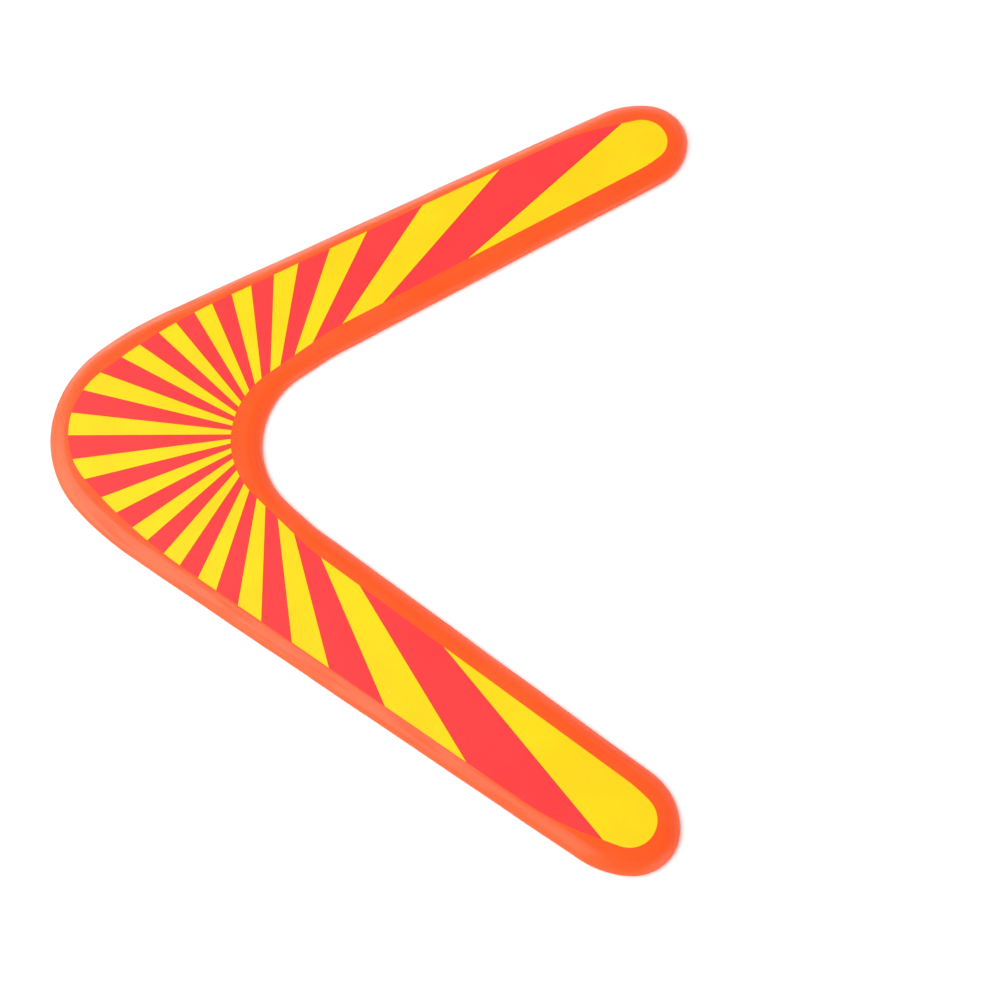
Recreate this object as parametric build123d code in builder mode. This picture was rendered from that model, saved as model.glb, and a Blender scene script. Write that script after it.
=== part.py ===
from build123d import *

import math
import os

# A V-shaped throwing boomerang cut from one sheet of five-ply birch plywood, sprayed orange all
# over and screen printed on the face with a sunburst of yellow and red rays.
#
# Frame: +Z is up out of the printed face. X is the axis of symmetry, with the elbow towards -X and
# the arms opening towards +X, and the two tips point towards +Y and -Y. The origin is on the
# resting face, under the middle of the outline's bounding box. All sizes are millimetres.

# Layers, from the resting face up
PAINT = 0.2  # sealer, primer and enamel together
PLY = 0.7
GLUE = 0.08
INK = 0.04
PLY_COUNT = 5

WOOD_THICKNESS = PLY_COUNT * PLY + (PLY_COUNT - 1) * GLUE
FACE_HEIGHT = WOOD_THICKNESS + 2 * PAINT  # painted face, under the ink

# The edge: widest at the crest, rounded over to the face above it and eased below it
CREST_HEIGHT = PAINT + PLY + GLUE
ROUND_DROP = FACE_HEIGHT - CREST_HEIGHT
ROUND_WIDTH = 6.2
ROUND_FULLNESS = 1.6  # 1 would be a flat bevel and 2 a quarter ellipse
EASE_RADIUS = 0.8
ROUND_SECTIONS = 12
EASE_SECTIONS = 5

# Half of each outline as corners (x, y, radius), measured from the centre of the sunburst: from
# the nose of the elbow, round the +Y arm, to the notch inside the elbow. The other half mirrors it.
BLANK_HALF = [
    (-104.0, 0.0, 46.9),  # nose
    (-57.4, 44.6, 141.0),  # outer shoulder
    (131.5, 160.5, 34.7),  # outside of the tip
    (159.6, 160.2, 17.0),  # end of the tip
    (157.7, 129.8, 23.5),  # inside of the tip
    (20.7, 35.8, 76.5),  # inner shoulder
    (-21.5, 0.0, 35.0),  # notch
]
ARTWORK_HALF = [
    (-88.7, 0.0, 32.5),
    (-47.0, 42.7, 230.0),
    (113.1, 143.1, 100.0),
    (178.8, 164.3, 10.1),
    (142.6, 129.6, 60.0),
    (20.3, 46.3, 77.0),
    (-31.1, 0.0, 34.5),
]

# The sunburst
RAY_PITCH = 15.0  # degrees from one yellow ray to the next
YELLOW_RAY = 7.2  # degrees that a yellow ray spans
YELLOW_COUNT = 19
RED_COUNT = YELLOW_COUNT - 1
RAY_START = 8.0  # inside the artwork's inner edge
RAY_END = 260.0  # past the artwork's tips


def whole_outline(half):
    """Close half an outline with its mirror image, clockwise seen from above."""
    return half + [(x, -y, radius) for x, y, radius in reversed(half[1:-1])]


def inset_outline(half, shift_x=0.0, inset=0.0):
    """Move every side inwards, keep the corners' arcs concentric, and slide the outline along X."""
    corners = whole_outline(half)
    points = []
    radii = []
    for index, (x, y, radius) in enumerate(corners):
        before = corners[index - 1]
        after = corners[(index + 1) % len(corners)]
        arriving = Vector(x - before[0], y - before[1]).normalized()
        leaving = Vector(after[0] - x, after[1] - y).normalized()
        inward_before = Vector(arriving.Y, -arriving.X)
        inward_after = Vector(leaving.Y, -leaving.X)
        step = (inward_before + inward_after) * (inset / (1 + inward_before.dot(inward_after)))
        is_convex = arriving.cross(leaving).Z < 0
        points.append((x + shift_x + step.X, y + step.Y))
        radii.append(radius - inset if is_convex else radius + inset)
    return points, radii


def outline_centre_x(half):
    """Middle of the outline's box along X, measured from the centre of the sunburst."""
    points, radii = inset_outline(half)
    with BuildSketch() as outline:
        with BuildLine():
            FilletPolyline(*points, radius=radii, close=True)
        make_face()
    return outline.sketch.bounding_box().center().X


SUNBURST_X = -outline_centre_x(BLANK_HALF)


def rounded_slab(levels):
    """Loft the blank's outline through (height, inset) levels."""
    with BuildPart() as slab:
        for height, inset in levels:
            points, radii = inset_outline(BLANK_HALF, SUNBURST_X, inset)
            with BuildSketch(Plane.XY.offset(height)):
                with BuildLine():
                    FilletPolyline(*points, radius=radii, close=True)
                make_face()
        loft()
    return slab.part


def upper_slab(depth):
    """The body from the crest up, as it stands a given depth under the finished surface."""
    power = 2 / ROUND_FULLNESS
    levels = []
    for section in range(ROUND_SECTIONS):
        angle = math.radians(90 * section / (ROUND_SECTIONS - 1))
        height = CREST_HEIGHT + (ROUND_DROP - depth) * math.sin(angle) ** power
        inset = ROUND_WIDTH - (ROUND_WIDTH - depth) * math.cos(angle) ** power
        levels.append((height, inset))
    return rounded_slab(levels)


def lower_slab(depth):
    """The body from the resting face to the crest, a given depth under the finished surface."""
    levels = []
    for section in range(EASE_SECTIONS):
        angle = math.radians(90 * section / (EASE_SECTIONS - 1))
        height = EASE_RADIUS - (EASE_RADIUS - depth) * math.cos(angle)
        inset = EASE_RADIUS - (EASE_RADIUS - depth) * math.sin(angle)
        levels.append((height, inset))
    with BuildPart() as slab:
        add(rounded_slab(levels))
        points, radii = inset_outline(BLANK_HALF, SUNBURST_X, depth)
        with BuildSketch(Plane.XY.offset(EASE_RADIUS)):
            with BuildLine():
                FilletPolyline(*points, radius=radii, close=True)
            make_face()
        extrude(amount=CREST_HEIGHT - EASE_RADIUS)
    return slab.part


def write(part, name):
    """Label a finished piece and write it to its own file."""
    part.label = name
    export_step(part, f"parts/{name}.step")


os.makedirs("parts", exist_ok=True)

wood_above_crest = upper_slab(PAINT)
wood_below_crest = lower_slab(PAINT)

# Plywood: veneers and the glue lines between them, from the resting face up
ply_names = ["back_veneer", "lower_cross_band", "core_veneer", "upper_cross_band", "face_veneer"]
layer_names = []
for number, ply_name in enumerate(ply_names):
    layer_names.append((ply_name, PLY))
    if number < PLY_COUNT - 1:
        layer_names.append((f"glue_line_{number + 1}", GLUE))

layer_bottom = PAINT
for layer_name, layer_thickness in layer_names:
    layer_top = layer_bottom + layer_thickness
    layer_middle = (layer_bottom + layer_top) / 2
    with BuildPart() as layer:
        add(wood_below_crest if layer_middle < CREST_HEIGHT else wood_above_crest)
        split(bisect_by=Plane.XY.offset(layer_bottom), keep=Keep.TOP)
        split(bisect_by=Plane.XY.offset(layer_top), keep=Keep.BOTTOM)
    write(layer.part, layer_name)
    layer_bottom = layer_top

# Paint: one coat sprayed from each side, meeting along the crest
with BuildPart() as top_paint_coat:
    add(upper_slab(0.0))
    add(wood_above_crest, mode=Mode.SUBTRACT)
write(top_paint_coat.part, "top_paint_coat")

with BuildPart() as back_paint_coat:
    add(lower_slab(0.0))
    add(wood_below_crest, mode=Mode.SUBTRACT)
write(back_paint_coat.part, "back_paint_coat")

# Ink: flat wedges laid side by side, cut off along the artwork's outline
ray_sets = [
    ("yellow_ink_rays", YELLOW_COUNT, YELLOW_RAY),
    ("red_ink_rays", RED_COUNT, RAY_PITCH - YELLOW_RAY),
]
artwork_points, artwork_radii = inset_outline(ARTWORK_HALF, SUNBURST_X)
for ink_name, ray_count, ray_span in ray_sets:
    half_slope = math.tan(math.radians(ray_span / 2))
    fan = (ray_count - 1) * RAY_PITCH
    wedge = [
        (RAY_START, -RAY_START * half_slope),
        (RAY_END, -RAY_END * half_slope),
        (RAY_END, RAY_END * half_slope),
        (RAY_START, RAY_START * half_slope),
    ]
    with BuildPart() as ink:
        with BuildSketch(Plane.XY.offset(FACE_HEIGHT)):
            with Locations((SUNBURST_X, 0)):
                with PolarLocations(0, ray_count, 180 - fan / 2, fan, endpoint=True):
                    Polygon(*wedge, align=None)
        extrude(amount=INK)
        with BuildSketch(Plane.XY.offset(FACE_HEIGHT)):
            with BuildLine():
                FilletPolyline(*artwork_points, radius=artwork_radii, close=True)
            make_face()
        extrude(amount=INK, mode=Mode.INTERSECT)
    write(ink.part, ink_name)
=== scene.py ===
"""A V-shaped plywood boomerang: sprayed enamel all over, a sunburst printed on its face."""

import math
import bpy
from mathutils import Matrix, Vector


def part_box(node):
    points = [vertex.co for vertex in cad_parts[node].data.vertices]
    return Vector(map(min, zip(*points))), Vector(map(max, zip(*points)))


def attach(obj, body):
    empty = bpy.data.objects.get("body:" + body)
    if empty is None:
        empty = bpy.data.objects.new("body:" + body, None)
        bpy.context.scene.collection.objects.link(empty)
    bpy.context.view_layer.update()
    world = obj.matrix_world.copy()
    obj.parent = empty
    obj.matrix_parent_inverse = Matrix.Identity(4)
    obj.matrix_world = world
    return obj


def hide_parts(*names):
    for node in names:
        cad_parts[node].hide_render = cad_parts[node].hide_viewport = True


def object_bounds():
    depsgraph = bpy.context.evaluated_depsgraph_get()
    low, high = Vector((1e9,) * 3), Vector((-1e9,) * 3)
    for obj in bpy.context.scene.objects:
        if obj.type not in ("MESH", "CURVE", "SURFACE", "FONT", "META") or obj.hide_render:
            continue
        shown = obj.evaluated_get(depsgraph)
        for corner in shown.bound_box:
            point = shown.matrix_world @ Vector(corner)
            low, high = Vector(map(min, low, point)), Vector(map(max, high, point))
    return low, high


bl_info = {
    "name": "Sunburst Boomerang",
    "version": (1, 0, 0),
    "blender": (4, 5, 0),
    "location": "View3D > Sidebar > Boomerang",
    "description": "Sprays, prints and lights a laminated plywood boomerang",
    "category": "Object",
}

import bmesh
import bpy
from bpy.props import FloatProperty, FloatVectorProperty, IntProperty, PointerProperty
from mathutils import Matrix, Vector, noise

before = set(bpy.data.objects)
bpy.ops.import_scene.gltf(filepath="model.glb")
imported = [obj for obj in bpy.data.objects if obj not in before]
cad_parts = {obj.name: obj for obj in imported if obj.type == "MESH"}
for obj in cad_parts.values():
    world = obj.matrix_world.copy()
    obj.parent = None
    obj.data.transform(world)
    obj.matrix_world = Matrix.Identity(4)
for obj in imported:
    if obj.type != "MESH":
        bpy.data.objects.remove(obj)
CAD_LOW, CAD_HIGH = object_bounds()

MM = 0.001

# Half of the blank's outline as corners (x, y, radius) in millimetres, measured from the point
# that the rays leave: from the elbow's nose, round the +Y arm, to the notch inside the elbow.
BLANK_HALF = (
    (-104.0, 0.0, 46.9),
    (-57.4, 44.6, 141.0),
    (131.5, 160.5, 34.7),
    (159.6, 160.2, 17.0),
    (157.7, 129.8, 23.5),
    (20.7, 35.8, 76.5),
    (-21.5, 0.0, 35.0),
)
TIP_CORNER = 3  # the arm's end lies on this corner's arc
UNSEEN_RINGS = 8  # on the side of the paint that meets the wood
ARC_STEPS = 60  # round each corner, before the line is divided evenly
SHARP_EDGE = math.radians(45.0)  # steeper than this stays a hard edge

# The Mix node's sockets for colours: factor, first and second, and the result
MIX_COLOUR_INPUTS = (0, 6, 7)
MIX_COLOUR_OUTPUT = 2

RAY_PITCH = math.radians(15.0)  # from one yellow ray to the next
YELLOW_RAY = math.radians(7.2)  # spanned by one yellow ray

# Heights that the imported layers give
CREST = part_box("top_paint_coat")[0].z
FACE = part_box("top_paint_coat")[1].z
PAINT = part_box("back_veneer")[0].z - CAD_LOW.z
PLY_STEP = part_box("glue_line_2")[0].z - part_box("glue_line_1")[0].z
FIRST_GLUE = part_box("glue_line_1")[0].z

VENEERS_ALONG = ("face_veneer", "core_veneer", "back_veneer")
VENEERS_ACROSS = ("upper_cross_band", "lower_cross_band")
GLUE_LINES = ("glue_line_1", "glue_line_2", "glue_line_3", "glue_line_4")

# Small marks in the finishes
RUBBED_ENAMEL = (1.0, 0.32, 0.12, 1.0)
BARE_PRIMER = (0.92, 0.80, 0.66, 1.0)
DUST = (0.25, 0.09, 0.02, 1.0)
OVERLAP_WIDTH = 0.70 * MM  # how far red ink laps over yellow, fading out
SCREEN_WEAVE = 9000.0  # radians of the printing screen's thread pattern in a metre

FLOOR_RADIUS = 0.7
FLOOR_SIDES = 96
ROOM_TOP = 0.85  # how far up the room its light stops fading, where 1 is overhead

# Each softbox: its place in metres, its shape, width and height
SOFTBOXES = {
    "elbow_softbox": ((-0.92, -0.21, 1.05), "ELLIPSE", 1.88, 1.88),
    "back_softbox": ((-0.79, 1.27, 0.18), "RECTANGLE", 1.3, 0.32),
    "arms_softbox": ((1.8, -1.5, 1.0), "RECTANGLE", 1.8, 1.5),
}


# --- Sizes and colours ------------------------------------------------------------------------


def colour(name, description, value):
    """A colour that a user may change, in linear light."""
    return FloatVectorProperty(
        name=name, description=description, default=value,
        subtype="COLOR", size=3, min=0.0, max=1.0,
    )


def length(name, description, value):
    """A length that a user may change, in metres."""
    return FloatProperty(
        name=name, description=description, default=value, unit="LENGTH", precision=5,
    )


class BoomerangEdge(bpy.types.PropertyGroup):
    """How the sanded edge is shaped, and how finely the paint on it is modelled."""

    round_width: length("Rounding width", "From the widest line in to the flat face", 6.2 * MM)
    fullness: FloatProperty(
        name="Rounding fullness", default=1.6, min=1.0, max=3.0,
        description="1 is a flat bevel and 2 a quarter ellipse",
    )
    ease_radius: length("Lower edge radius", "Between the side and the back", 0.8 * MM)
    sanding_depth: length("Sanding depth", "How far hand sanding wanders", 0.15 * MM)
    stroke_length: length("Stroke length", "Of a sanding stroke along the edge", 22 * MM)
    stroke_width: length("Stroke width", "Of a sanding stroke up the rounding", 0.9 * MM)
    side_points: IntProperty(
        name="Points along a side", default=240, min=40, max=800,
        description="From the elbow to an arm's end, on one side of the arm",
    )
    rounding_rings: IntProperty(
        name="Rings up the rounding", default=26, min=4, max=60,
        description="From the widest line to the flat face",
    )
    face_columns: IntProperty(
        name="Columns across the face", default=10, min=1, max=40,
        description="Quads from one side of an arm to the other",
    )


class BoomerangColours(bpy.types.PropertyGroup):
    """Paint, ink, wood, glue and floor."""

    enamel: colour("Enamel", "Sprayed on the whole body", (0.97, 0.083, 0.007))
    yellow: colour("Yellow ink", "Nineteen rays", (0.97, 0.60, 0.002))
    red: colour("Red ink", "Eighteen rays", (0.97, 0.040, 0.044))
    overlap: colour("Overlap", "Red ink lapping over yellow", (0.48, 0.055, 0.010))
    birch: colour("Birch", "Veneers under the paint", (0.74, 0.54, 0.31))
    glue: colour("Glue", "Film between two veneers", (0.17, 0.065, 0.022))
    floor: colour("Floor", "Plain pale sweep", (0.97, 0.97, 0.97))


class BoomerangStage(bpy.types.PropertyGroup):
    """Where the camera stands, and the studio's light."""

    camera_aside: length("Camera aside", "Along X from the rays' centre", 89.3 * MM)
    camera_back: length("Camera back", "Towards -Y from the rays' centre", 300.2 * MM)
    camera_height: length("Camera height", "Above the printed face", 646.4 * MM)
    camera_tilt: FloatProperty(
        name="Camera tilt", description="From looking straight down",
        default=math.radians(23.27), subtype="ANGLE",
    )
    camera_roll: FloatProperty(
        name="Camera roll", description="About its line of sight",
        default=math.radians(2.97), subtype="ANGLE",
    )
    camera_lens: FloatProperty(
        name="Lens", description="Millimetres, for a sensor 36 mm wide",
        default=67.5, min=10, unit="CAMERA",
    )
    wall_light: FloatProperty(
        name="Wall light", description="Brightness of the room at floor level",
        default=1.45, min=0,
    )
    ceiling_light: FloatProperty(
        name="Ceiling light", description="Brightness of the room overhead",
        default=0.29, min=0,
    )
    elbow_softbox: FloatProperty(
        name="Elbow softbox", description="Power of the round softbox beyond the elbow",
        default=25.5, min=0, unit="POWER",
    )
    back_softbox: FloatProperty(
        name="Back softbox", description="Power of the low strip behind the far arm",
        default=4.2, min=0, unit="POWER",
    )
    arms_softbox: FloatProperty(
        name="Arms softbox", description="Power of the large softbox beyond the arms",
        default=12.0, min=0, unit="POWER",
    )


# --- The blank's outline ----------------------------------------------------------------------


def corner_arc(before, corner, after):
    """Points (x, y, normal x, normal y) round one corner, normals pointing off the blank."""
    here = Vector(corner[:2])
    arriving = (here - Vector(before[:2])).normalized()
    leaving = (Vector(after[:2]) - here).normalized()
    turn = arriving.angle_signed(leaving)  # clockwise is positive
    bend = math.copysign(1.0, turn)
    radius = corner[2]
    start = here - arriving * radius * math.tan(abs(turn) / 2)
    off_blank = Vector((-arriving.y, arriving.x))
    centre = start - off_blank * radius * bend
    for step in range(ARC_STEPS + 1):
        normal = off_blank.copy()
        normal.rotate(Matrix.Rotation(-turn * step / ARC_STEPS, 2))
        point = centre + normal * radius * bend
        yield (*point, *normal)


def even_steps(points, count):
    """The same line again in count even steps."""
    run = [0.0]
    for first, second in zip(points, points[1:]):
        run.append(run[-1] + math.dist(first[:2], second[:2]))
    stations, index = [], 0
    for step in range(count + 1):
        target = run[-1] * step / count
        while index < len(run) - 2 and run[index + 1] < target:
            index += 1
        share = (target - run[index]) / max(run[index + 1] - run[index], 1e-9)
        pair = zip(points[index], points[index + 1])
        stations.append([a + (b - a) * min(share, 1.0) for a, b in pair])
    return stations


def rounded_half():
    """The arcs' points in millimetres, nose to arm's end and arm's end to notch."""
    corners = [(BLANK_HALF[1][0], -BLANK_HALF[1][1]), *BLANK_HALF]
    corners.append((BLANK_HALF[-2][0], -BLANK_HALF[-2][1]))
    arcs = [list(corner_arc(*corners[i - 1 : i + 2])) for i in range(1, len(corners) - 1)]
    arcs[0] = arcs[0][len(arcs[0]) // 2 :]
    arcs[-1] = arcs[-1][: len(arcs[-1]) // 2 + 1]
    tip = arcs[TIP_CORNER]
    middle = len(tip) // 2
    outer = [p for arc in arcs[:TIP_CORNER] for p in arc] + tip[: middle + 1]
    inner = tip[middle:] + [p for arc in arcs[TIP_CORNER + 1 :] for p in arc]
    return outer, inner


def rays_centre():
    """Where the rays leave on the X axis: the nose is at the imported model's low end."""
    outer, _ = rounded_half()
    return CAD_LOW.x - min(p[0] for p in outer) * MM


def half_outline(side_points):
    """Stations (point, normal) from the nose to the arm's end, and on to the notch."""
    outer, inner = rounded_half()
    line = even_steps(outer, side_points) + even_steps(inner, side_points)[1:]
    shift = Vector((rays_centre(), 0.0))
    return [(Vector(p[:2]) * MM + shift, Vector(p[2:]).normalized()) for p in line]


# --- The paint, as closed skins ---------------------------------------------------------------


def sanded_in(point, height, edge):
    """How far the hand-sanded surface stands off its drawn line here, in long strokes."""
    stroke = Vector((point.x, point.y, height * edge.stroke_length / edge.stroke_width))
    wander = noise.noise(stroke / edge.stroke_length)
    return edge.sanding_depth * (wander + 0.5 * noise.noise(stroke * 2.3 / edge.stroke_length))


def add_ring(bm, half, inset, height, edge, sanded):
    """One closed ring of vertices, nose first, at this distance in from the widest line."""
    ring = []
    mirrored = [(Vector((p.x, -p.y)), Vector((n.x, -n.y))) for p, n in half[-2:0:-1]]
    for point, normal in half + mirrored:
        reach = sanded_in(point, height, edge) * sanded - inset
        ring.append(bm.verts.new((*(point + normal * reach), height)))
    return ring


def add_band(bm, lower, upper):
    """Quads between two rings."""
    for i in range(len(lower)):
        bm.faces.new((lower[i - 1], lower[i], upper[i], upper[i - 1]))


def add_flat(bm, ring, columns):
    """Rungs from the outer side of both arms to the inner side, closed at each arm's end."""
    half = len(ring) // 2
    lines = {}

    def rung(outer, inner, key):
        """The vertices from one side to the other, made only once for each key."""
        if key not in lines:
            between = [outer.co.lerp(inner.co, c / columns) for c in range(1, columns)]
            lines[key] = [outer, *(bm.verts.new(p) for p in between), inner]
        return lines[key]

    for arm in (1, -1):
        side = ring[: half + 1] if arm == 1 else [ring[0], *ring[: half - 1 : -1]]
        tip = half // 2
        for i in range(tip):
            first = rung(side[i], side[half - i], i * arm)
            if i + 1 == tip:
                for a, b in zip(first, first[1:]):
                    bm.faces.new((a, b, side[tip]))
            else:
                second = rung(side[i + 1], side[half - i - 1], (i + 1) * arm)
                for c in range(columns):
                    bm.faces.new((first[c], first[c + 1], second[c + 1], second[c]))


def add_skin(bm, half, profile, edge, sanded):
    """Rings along a profile of (inset, height) pairs and the flat that closes it."""
    rings = []
    for i, (inset, height) in enumerate(profile):
        fading = sanded * (1 - i / (len(profile) - 1))
        rings.append(add_ring(bm, half, inset, height, edge, fading))
    for lower, upper in zip(rings, rings[1:]):
        add_band(bm, lower, upper)
    add_flat(bm, rings[-1], edge.face_columns)
    return rings[0]


def rounding(width, fullness, steps, depth):
    """From the widest line up to the flat face, a depth under the finished surface."""
    power = 2 / fullness
    for step in range(steps + 1):
        turn = math.pi / 2 * step / steps
        inset = width - (width - depth) * max(0.0, math.cos(turn)) ** power
        yield inset, CREST + (FACE - CREST - depth) * math.sin(turn) ** power


def easing(radius, steps, depth):
    """Side and quarter circle from the widest line down to the back, a depth under the paint."""
    yield depth, CREST
    for step in range(steps + 1):
        turn = math.pi / 2 * step / steps
        inset = radius - (radius - depth) * math.cos(turn)
        yield inset, CAD_LOW.z + radius - (radius - depth) * math.sin(turn)


def spray_coat(name, node, outside, inside, edge):
    """A closed coat of paint between two profiles, in place of a packed coat."""
    half = half_outline(edge.side_points)
    bm = bmesh.new()
    outer = add_skin(bm, half, list(outside), edge, 1.0)
    inner = add_skin(bm, half, list(inside), edge, 0.0)
    add_band(bm, inner, outer)
    bmesh.ops.recalc_face_normals(bm, faces=bm.faces)
    mesh = bpy.data.meshes.new(name)
    bm.to_mesh(mesh)
    bm.free()
    mesh.shade_smooth()
    mesh.set_sharp_from_angle(angle=SHARP_EDGE)
    coat = bpy.data.objects.new(name, mesh)
    bpy.context.scene.collection.objects.link(coat)
    coat.data.materials.append(bpy.data.materials["sprayed enamel"])
    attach(coat, "root")
    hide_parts(node)
    return coat


# --- Finishes ---------------------------------------------------------------------------------


class Recipe:
    """A material being made up from nodes."""

    def __init__(self, name, **surface):
        self.material = bpy.data.materials.new(name)
        self.material.use_nodes = True
        self.tree = self.material.node_tree
        self.shader = self.tree.nodes["Principled BSDF"]
        self.place = self.add("TexCoord").outputs["Object"]
        for socket, value in surface.items():
            self.shader.inputs[socket.replace("_", " ")].default_value = value

    def add(self, kind, inputs=None, **settings):
        """A node whose inputs are values, or outputs to link from."""
        node = self.tree.nodes.new("ShaderNode" + kind)
        for setting, value in settings.items():
            setattr(node, setting, value)
        for socket, value in (inputs or {}).items():
            if isinstance(value, bpy.types.NodeSocket):
                self.tree.links.new(value, node.inputs[socket])
            else:
                node.inputs[socket].default_value = value
        return node

    def stretched(self, x, y, z):
        """Object position scaled along each axis."""
        scaled = self.add("VectorMath", {0: self.place, 1: (x, y, z)}, operation="MULTIPLY")
        return scaled.outputs[0]

    def cloud(self, scale, detail=3.0, place=None, roughness=0.5, low=0.0, high=1.0):
        """Noise between low and high."""
        inputs = {"Vector": place or self.place, "Scale": scale, "Detail": detail,
                  "Roughness": roughness}
        return self.between(self.add("TexNoise", inputs).outputs["Fac"], 0.3, 0.7, low, high)

    def between(self, value, start, end, low=0.0, high=1.0):
        """A value's range from start to end spread over low to high."""
        inputs = {
            "Value": value, "From Min": start, "From Max": end, "To Min": low, "To Max": high,
        }
        return self.add("MapRange", inputs, interpolation_type="SMOOTHSTEP").outputs["Result"]

    def maths(self, operation, first, second=0.0):
        """One sum on two values."""
        return self.add("Math", {0: first, 1: second}, operation=operation).outputs[0]

    def blend(self, share, first, second):
        """Two colours, mixed."""
        inputs = dict(zip(MIX_COLOUR_INPUTS, (share, first, second)))
        return self.add("Mix", inputs, data_type="RGBA").outputs[MIX_COLOUR_OUTPUT]

    def specks(self, spacing, size, share):
        """1 inside sparse round specks: their spacing and size in metres, and how many cells."""
        inputs = {"Vector": self.place, "Scale": 1 / spacing}
        cells = self.add("TexVoronoi", inputs)
        near = self.between(cells.outputs["Distance"], size / spacing, size / spacing * 0.6)
        lot = self.add("SeparateColor", {0: cells.outputs["Color"]}).outputs[0]
        return self.maths("MULTIPLY", near, self.maths("LESS_THAN", lot, share))

    def bump(self, height, depth, under=None):
        """A bump this many metres deep, over another."""
        inputs = {"Height": height, "Distance": depth, "Strength": 1.0}
        if under:
            inputs["Normal"] = under
        return self.add("Bump", inputs).outputs["Normal"]

    def use(self, **links):
        """Link outputs into the surface."""
        for socket, value in links.items():
            self.tree.links.new(value, self.shader.inputs[socket.replace("_", " ")])
        return self.material


def shade(value, times):
    """A colour made darker or lighter, with full alpha."""
    return (*(min(1.0, channel * times) for channel in value), 1.0)


def mix_enamel(colours):
    """Sprayed enamel: orange peel, sanding lines, sanding strokes with painted shade along them,
    plies showing through, rubbed edges.
    """
    paint = Recipe(
        "sprayed enamel",
        Specular_IOR_Level=0.42, IOR=1.48, Coat_Weight=0.12, Coat_Roughness=0.2,
    )
    enamel = colours.enamel
    height = paint.add("SeparateXYZ", {0: paint.place}).outputs["Z"]

    drift = paint.cloud(28.0, detail=3.0)
    body = paint.blend(drift, shade(enamel, 0.93), shade(enamel, 1.05))
    along = paint.stretched(60.0, 60.0, 5200.0)
    lines = paint.cloud(1.0, detail=4.0, place=along, roughness=0.65)
    body = paint.blend(paint.maths("MULTIPLY", lines, 0.22), body, shade(enamel, 1.35))
    sanding_strokes_and_shade = paint.cloud(1.0, detail=3.0, place=paint.stretched(32.0, 32.0, 1300.0))
    sanding_strokes_and_shade = paint.between(sanding_strokes_and_shade, 0.62, 0.95)
    # Painted shade: the enamel is darkened along the sanding strokes, on top of their real
    # dullness and dents
    body = paint.blend(paint.maths("MULTIPLY", sanding_strokes_and_shade, 0.3), body, shade(enamel, 0.78))
    off_crest = paint.maths("ABSOLUTE", paint.maths("SUBTRACT", height, CREST))
    rubbed = paint.maths(
        "MULTIPLY", paint.between(off_crest, 0.5 * MM, 0.0), paint.cloud(180.0, detail=4.0)
    )
    body = paint.blend(paint.maths("MULTIPLY", rubbed, 0.18), body, RUBBED_ENAMEL)
    nibs = paint.specks(9 * MM, 0.22 * MM, 0.10)
    body = paint.blend(paint.maths("MULTIPLY", nibs, 0.35), body, shade(enamel, 0.5))

    gloss = paint.cloud(90.0, low=0.29, high=0.38)
    gloss = paint.maths("ADD", gloss, paint.maths("MULTIPLY", rubbed, 0.10))
    gloss = paint.maths("ADD", gloss, paint.maths("MULTIPLY", sanding_strokes_and_shade, 0.26))

    plies_up = paint.maths("SUBTRACT", height, FIRST_GLUE - PLY_STEP)
    ply = paint.maths("FRACT", paint.maths("DIVIDE", plies_up, PLY_STEP))
    off_middle = paint.maths("ABSOLUTE", paint.maths("SUBTRACT", ply, 0.5))
    ply_line = paint.between(off_middle, 0.5, 0.38)
    normal = paint.bump(ply_line, 0.020 * MM)
    normal = paint.bump(lines, 0.012 * MM, normal)
    normal = paint.bump(sanding_strokes_and_shade, -0.045 * MM, normal)
    normal = paint.bump(paint.cloud(560.0, detail=2.0), 0.030 * MM, normal)
    normal = paint.bump(nibs, 0.05 * MM, normal)
    return paint.use(Base_Color=body, Roughness=gloss, Normal=normal)


def off_ray_edge(ink):
    """Distance in metres from the nearest line between a yellow and a red ray."""
    from_centre = ink.add(
        "VectorMath", {0: ink.place, 1: (rays_centre(), 0.0, FACE)}, operation="SUBTRACT"
    ).outputs[0]
    parts = ink.add("SeparateXYZ", {0: from_centre}).outputs
    bearing = ink.maths("ARCTAN2", parts["Y"], parts["X"])
    to_yellow = ink.maths("PINGPONG", bearing, RAY_PITCH / 2)
    off_edge = ink.maths("ABSOLUTE", ink.maths("SUBTRACT", to_yellow, YELLOW_RAY / 2))
    reach = ink.add("VectorMath", {0: from_centre}, operation="LENGTH").outputs["Value"]
    return ink.maths("MULTIPLY", off_edge, reach)


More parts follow.
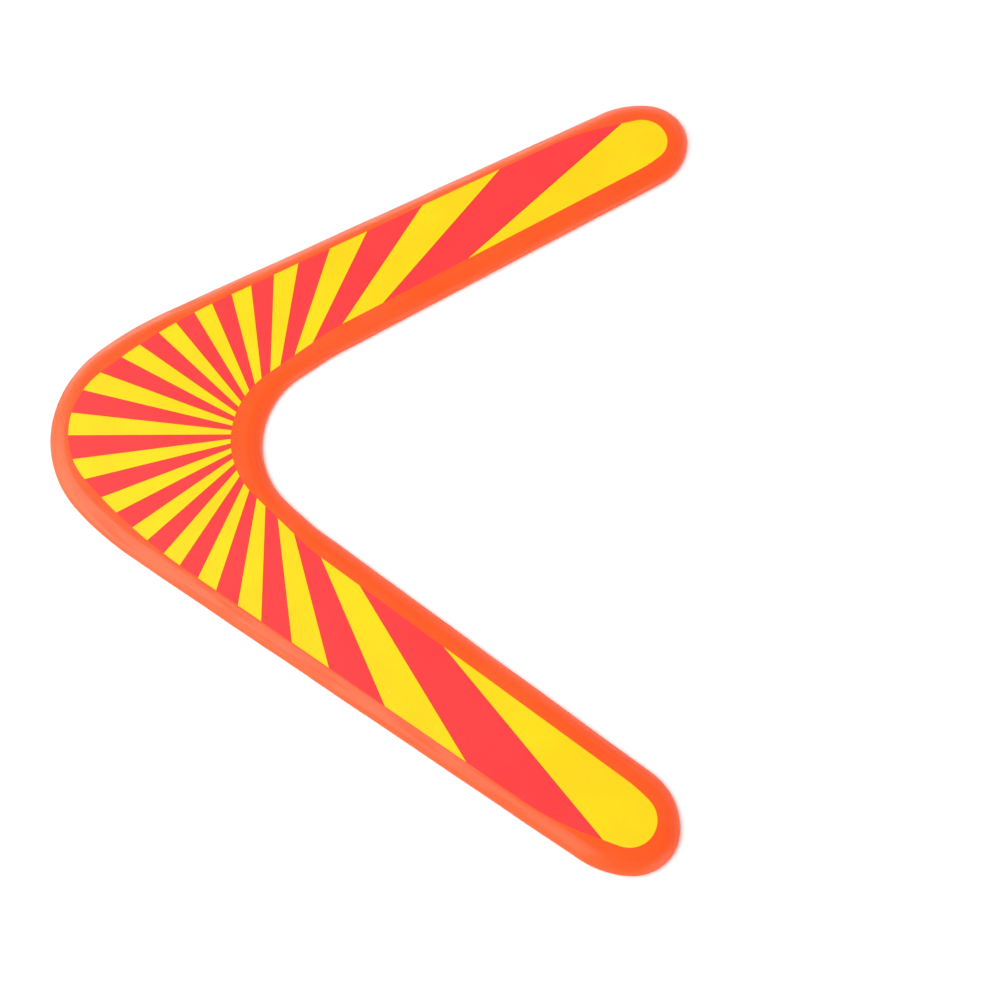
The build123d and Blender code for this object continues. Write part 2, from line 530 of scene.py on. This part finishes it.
def mix_ink(name, value, fade, overlap):
    """Screen-printed ink: even, slightly mottled, with the screen's weave and a few pinholes."""
    ink = Recipe(name, Specular_IOR_Level=0.35, IOR=1.45)
    body = ink.blend(ink.cloud(55.0, detail=5.0), shade(value, 0.94), shade(value, 1.05))
    both_inks = ink.between(off_ray_edge(ink), OVERLAP_WIDTH, OVERLAP_WIDTH / 2, 0.0, 0.8)
    body = ink.blend(both_inks, body, (*overlap, 1.0))
    grain = ink.cloud(1600.0, detail=2.0)
    body = ink.blend(ink.maths("MULTIPLY", grain, 0.5), body, shade(value, fade))
    pinholes = ink.specks(15 * MM, 0.42 * MM, 0.16)
    body = ink.blend(ink.maths("MULTIPLY", pinholes, 0.8), body, BARE_PRIMER)
    specks = ink.specks(23 * MM, 0.36 * MM, 0.08)
    body = ink.blend(ink.maths("MULTIPLY", specks, 0.6), body, DUST)
    gloss = ink.cloud(120.0, low=0.36, high=0.44)

    screen = ink.stretched(SCREEN_WEAVE, SCREEN_WEAVE, SCREEN_WEAVE)
    weave = ink.add("SeparateXYZ", {0: screen}).outputs
    threads = ink.maths(
        "MULTIPLY", ink.maths("SINE", weave["X"]), ink.maths("SINE", weave["Y"])
    )
    normal = ink.bump(threads, 0.0020 * MM)
    normal = ink.bump(ink.cloud(480.0, detail=3.0), 0.016 * MM, normal)
    normal = ink.bump(pinholes, -0.03 * MM, normal)
    return ink.use(Base_Color=body, Roughness=gloss, Normal=normal)


def mix_birch(name, value, grain_along_x):
    """Rotary-cut birch with long pores and soft figure, along X or along Y."""
    wood = Recipe(name, Specular_IOR_Level=0.3)
    fine = (40.0, 900.0, 900.0) if grain_along_x else (900.0, 40.0, 900.0)
    broad = (6.0, 70.0, 70.0) if grain_along_x else (70.0, 6.0, 70.0)
    figure = wood.cloud(1.0, detail=5.0, place=wood.stretched(*broad))
    pores = wood.cloud(1.0, detail=4.0, place=wood.stretched(*fine), roughness=0.7)
    body = wood.blend(figure, shade(value, 0.88), shade(value, 1.08))
    body = wood.blend(wood.maths("MULTIPLY", pores, 0.35), body, shade(value, 0.70))
    gloss = wood.cloud(300.0, low=0.55, high=0.72)
    return wood.use(Base_Color=body, Roughness=gloss, Normal=wood.bump(pores, 0.02 * MM))


def mix_glue(value):
    """Brown resin film, thicker in places."""
    glue = Recipe("veneer glue", Specular_IOR_Level=0.5)
    body = glue.blend(glue.cloud(240.0, detail=4.0), shade(value, 0.75), shade(value, 1.3))
    gloss = glue.cloud(500.0, low=0.30, high=0.50)
    normal = glue.bump(glue.cloud(900.0), 0.01 * MM)
    return glue.use(Base_Color=body, Roughness=gloss, Normal=normal)


def mix_floor(value):
    """Matt seamless paper."""
    paper = Recipe("seamless paper", Specular_IOR_Level=0.2)
    body = paper.blend(paper.cloud(2.0), shade(value, 0.995), shade(value, 1.005))
    gloss = paper.cloud(30.0, low=0.75, high=0.85)
    normal = paper.bump(paper.cloud(700.0), 0.01 * MM)
    return paper.use(Base_Color=body, Roughness=gloss, Normal=normal)


def finish_nodes(names, material):
    """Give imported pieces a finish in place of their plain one."""
    for name in names:
        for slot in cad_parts[name].material_slots:
            slot.material = material


# --- Operators --------------------------------------------------------------------------------


class BOOMERANG_OT_enamel(bpy.types.Operator):
    """Spray the face and the back with orange enamel"""

    bl_idname = "boomerang.enamel"
    bl_label = "Spray Enamel"

    def execute(self, context):
        edge = context.scene.boomerang_edge
        mix_enamel(context.scene.boomerang_colours)
        up = edge.rounding_rings
        spray_coat(
            "face_enamel", "top_paint_coat",
            rounding(edge.round_width, edge.fullness, up, 0.0),
            rounding(edge.round_width, edge.fullness, UNSEEN_RINGS, PAINT), edge,
        )
        down = max(4, up // 2)
        spray_coat(
            "back_enamel", "back_paint_coat",
            easing(edge.ease_radius, down, 0.0),
            easing(edge.ease_radius, UNSEEN_RINGS, PAINT), edge,
        )
        return {"FINISHED"}


class BOOMERANG_OT_sunburst(bpy.types.Operator):
    """Print the yellow and red rays on the face"""

    bl_idname = "boomerang.sunburst"
    bl_label = "Print Sunburst"

    def execute(self, context):
        colours = context.scene.boomerang_colours
        yellow = mix_ink("yellow screen ink", colours.yellow, 0.93, colours.yellow)
        red = mix_ink("red screen ink", colours.red, 0.90, colours.overlap)
        finish_nodes(("yellow_ink_rays",), yellow)
        finish_nodes(("red_ink_rays",), red)
        return {"FINISHED"}


class BOOMERANG_OT_plywood(bpy.types.Operator):
    """Grain the veneers and colour the glue between them"""

    bl_idname = "boomerang.plywood"
    bl_label = "Grain Plywood"

    def execute(self, context):
        colours = context.scene.boomerang_colours
        finish_nodes(VENEERS_ALONG, mix_birch("birch along the span", colours.birch, False))
        finish_nodes(VENEERS_ACROSS, mix_birch("birch across the span", colours.birch, True))
        finish_nodes(GLUE_LINES, mix_glue(colours.glue))
        return {"FINISHED"}


def hang_softbox(name, place, shape, width, height, power):
    """A softbox that faces the boomerang."""
    lamp = bpy.data.lights.new(name, "AREA")
    lamp.shape = shape
    lamp.size, lamp.size_y, lamp.energy = width, height, power
    softbox = bpy.data.objects.new(name, lamp)
    softbox.location = place
    softbox.rotation_euler = Vector(place).to_track_quat("Z", "Y").to_euler()
    bpy.context.scene.collection.objects.link(softbox)


def light_room(walls, ceiling):
    """A white room, brightest at floor level and darker overhead."""
    world = bpy.data.worlds.new("white room")
    world.use_nodes = True
    tree = world.node_tree
    way = tree.nodes.new("ShaderNodeTexCoord")
    split = tree.nodes.new("ShaderNodeSeparateXYZ")
    fade = tree.nodes.new("ShaderNodeMapRange")
    fade.interpolation_type = "SMOOTHERSTEP"
    fade.inputs["From Min"].default_value = 0.0
    fade.inputs["From Max"].default_value = ROOM_TOP
    fade.inputs["To Min"].default_value = walls
    fade.inputs["To Max"].default_value = ceiling
    tree.links.new(way.outputs["Generated"], split.inputs[0])
    tree.links.new(split.outputs["Z"], fade.inputs["Value"])
    tree.links.new(fade.outputs["Result"], tree.nodes["Background"].inputs["Strength"])
    tree.nodes["Background"].inputs["Color"].default_value = (1.0, 1.0, 1.0, 1.0)
    return world


class BOOMERANG_OT_stage(bpy.types.Operator):
    """Lay the floor, hang the softboxes and place the camera"""

    bl_idname = "boomerang.stage"
    bl_label = "Set Stage"

    def execute(self, context):
        scene = context.scene
        stage = scene.boomerang_stage
        mesh = bpy.data.meshes.new("floor")
        bm = bmesh.new()
        bmesh.ops.create_circle(bm, cap_ends=True, segments=FLOOR_SIDES, radius=FLOOR_RADIUS)
        bm.to_mesh(mesh)
        bm.free()
        floor = bpy.data.objects.new("floor", mesh)
        floor.location.z = CAD_LOW.z
        floor.data.materials.append(mix_floor(scene.boomerang_colours.floor))
        scene.collection.objects.link(floor)

        scene.world = light_room(stage.wall_light, stage.ceiling_light)
        scene.view_settings.view_transform = "Standard"
        for name, (place, shape, width, height) in SOFTBOXES.items():
            hang_softbox(name, place, shape, width, height, getattr(stage, name))

        camera = bpy.data.objects.new("camera", bpy.data.cameras.new("camera"))
        camera.data.lens = stage.camera_lens
        stands_at = (
            rays_centre() + stage.camera_aside,
            -stage.camera_back,
            CAD_HIGH.z + stage.camera_height,
        )
        camera.matrix_world = (
            Matrix.Translation(stands_at)
            @ Matrix.Rotation(stage.camera_tilt, 4, "X")
            @ Matrix.Rotation(stage.camera_roll, 4, "Z")
        )
        scene.collection.objects.link(camera)
        scene.camera = camera
        return {"FINISHED"}


class BOOMERANG_PT_panel(bpy.types.Panel):
    """The boomerang's steps, sizes and colours"""

    bl_label = "Boomerang"
    bl_idname = "BOOMERANG_PT_panel"
    bl_space_type = "VIEW_3D"
    bl_region_type = "UI"
    bl_category = "Boomerang"

    def draw(self, context):
        for step in OPERATORS:
            self.layout.operator(step.bl_idname)
        for group in (
            context.scene.boomerang_edge,
            context.scene.boomerang_colours,
            context.scene.boomerang_stage,
        ):
            box = self.layout.box()
            for name in group.__annotations__:
                box.prop(group, name)


OPERATORS = (
    BOOMERANG_OT_enamel,
    BOOMERANG_OT_sunburst,
    BOOMERANG_OT_plywood,
    BOOMERANG_OT_stage,
)
GROUPS = (BoomerangEdge, BoomerangColours, BoomerangStage)


def register():
    """Add the settings, the steps and the panel."""
    for cls in (*GROUPS, *OPERATORS, BOOMERANG_PT_panel):
        bpy.utils.register_class(cls)
    bpy.types.Scene.boomerang_edge = PointerProperty(type=BoomerangEdge)
    bpy.types.Scene.boomerang_colours = PointerProperty(type=BoomerangColours)
    bpy.types.Scene.boomerang_stage = PointerProperty(type=BoomerangStage)


def unregister():
    """Take them out again, last one first."""
    del bpy.types.Scene.boomerang_stage
    del bpy.types.Scene.boomerang_colours
    del bpy.types.Scene.boomerang_edge
    for cls in reversed((*GROUPS, *OPERATORS, BOOMERANG_PT_panel)):
        bpy.utils.unregister_class(cls)


def main():
    """Make the whole boomerang."""
    register()
    bpy.ops.boomerang.enamel()
    bpy.ops.boomerang.sunburst()
    bpy.ops.boomerang.plywood()
    bpy.ops.boomerang.stage()


if __name__ == "__main__":
    main()
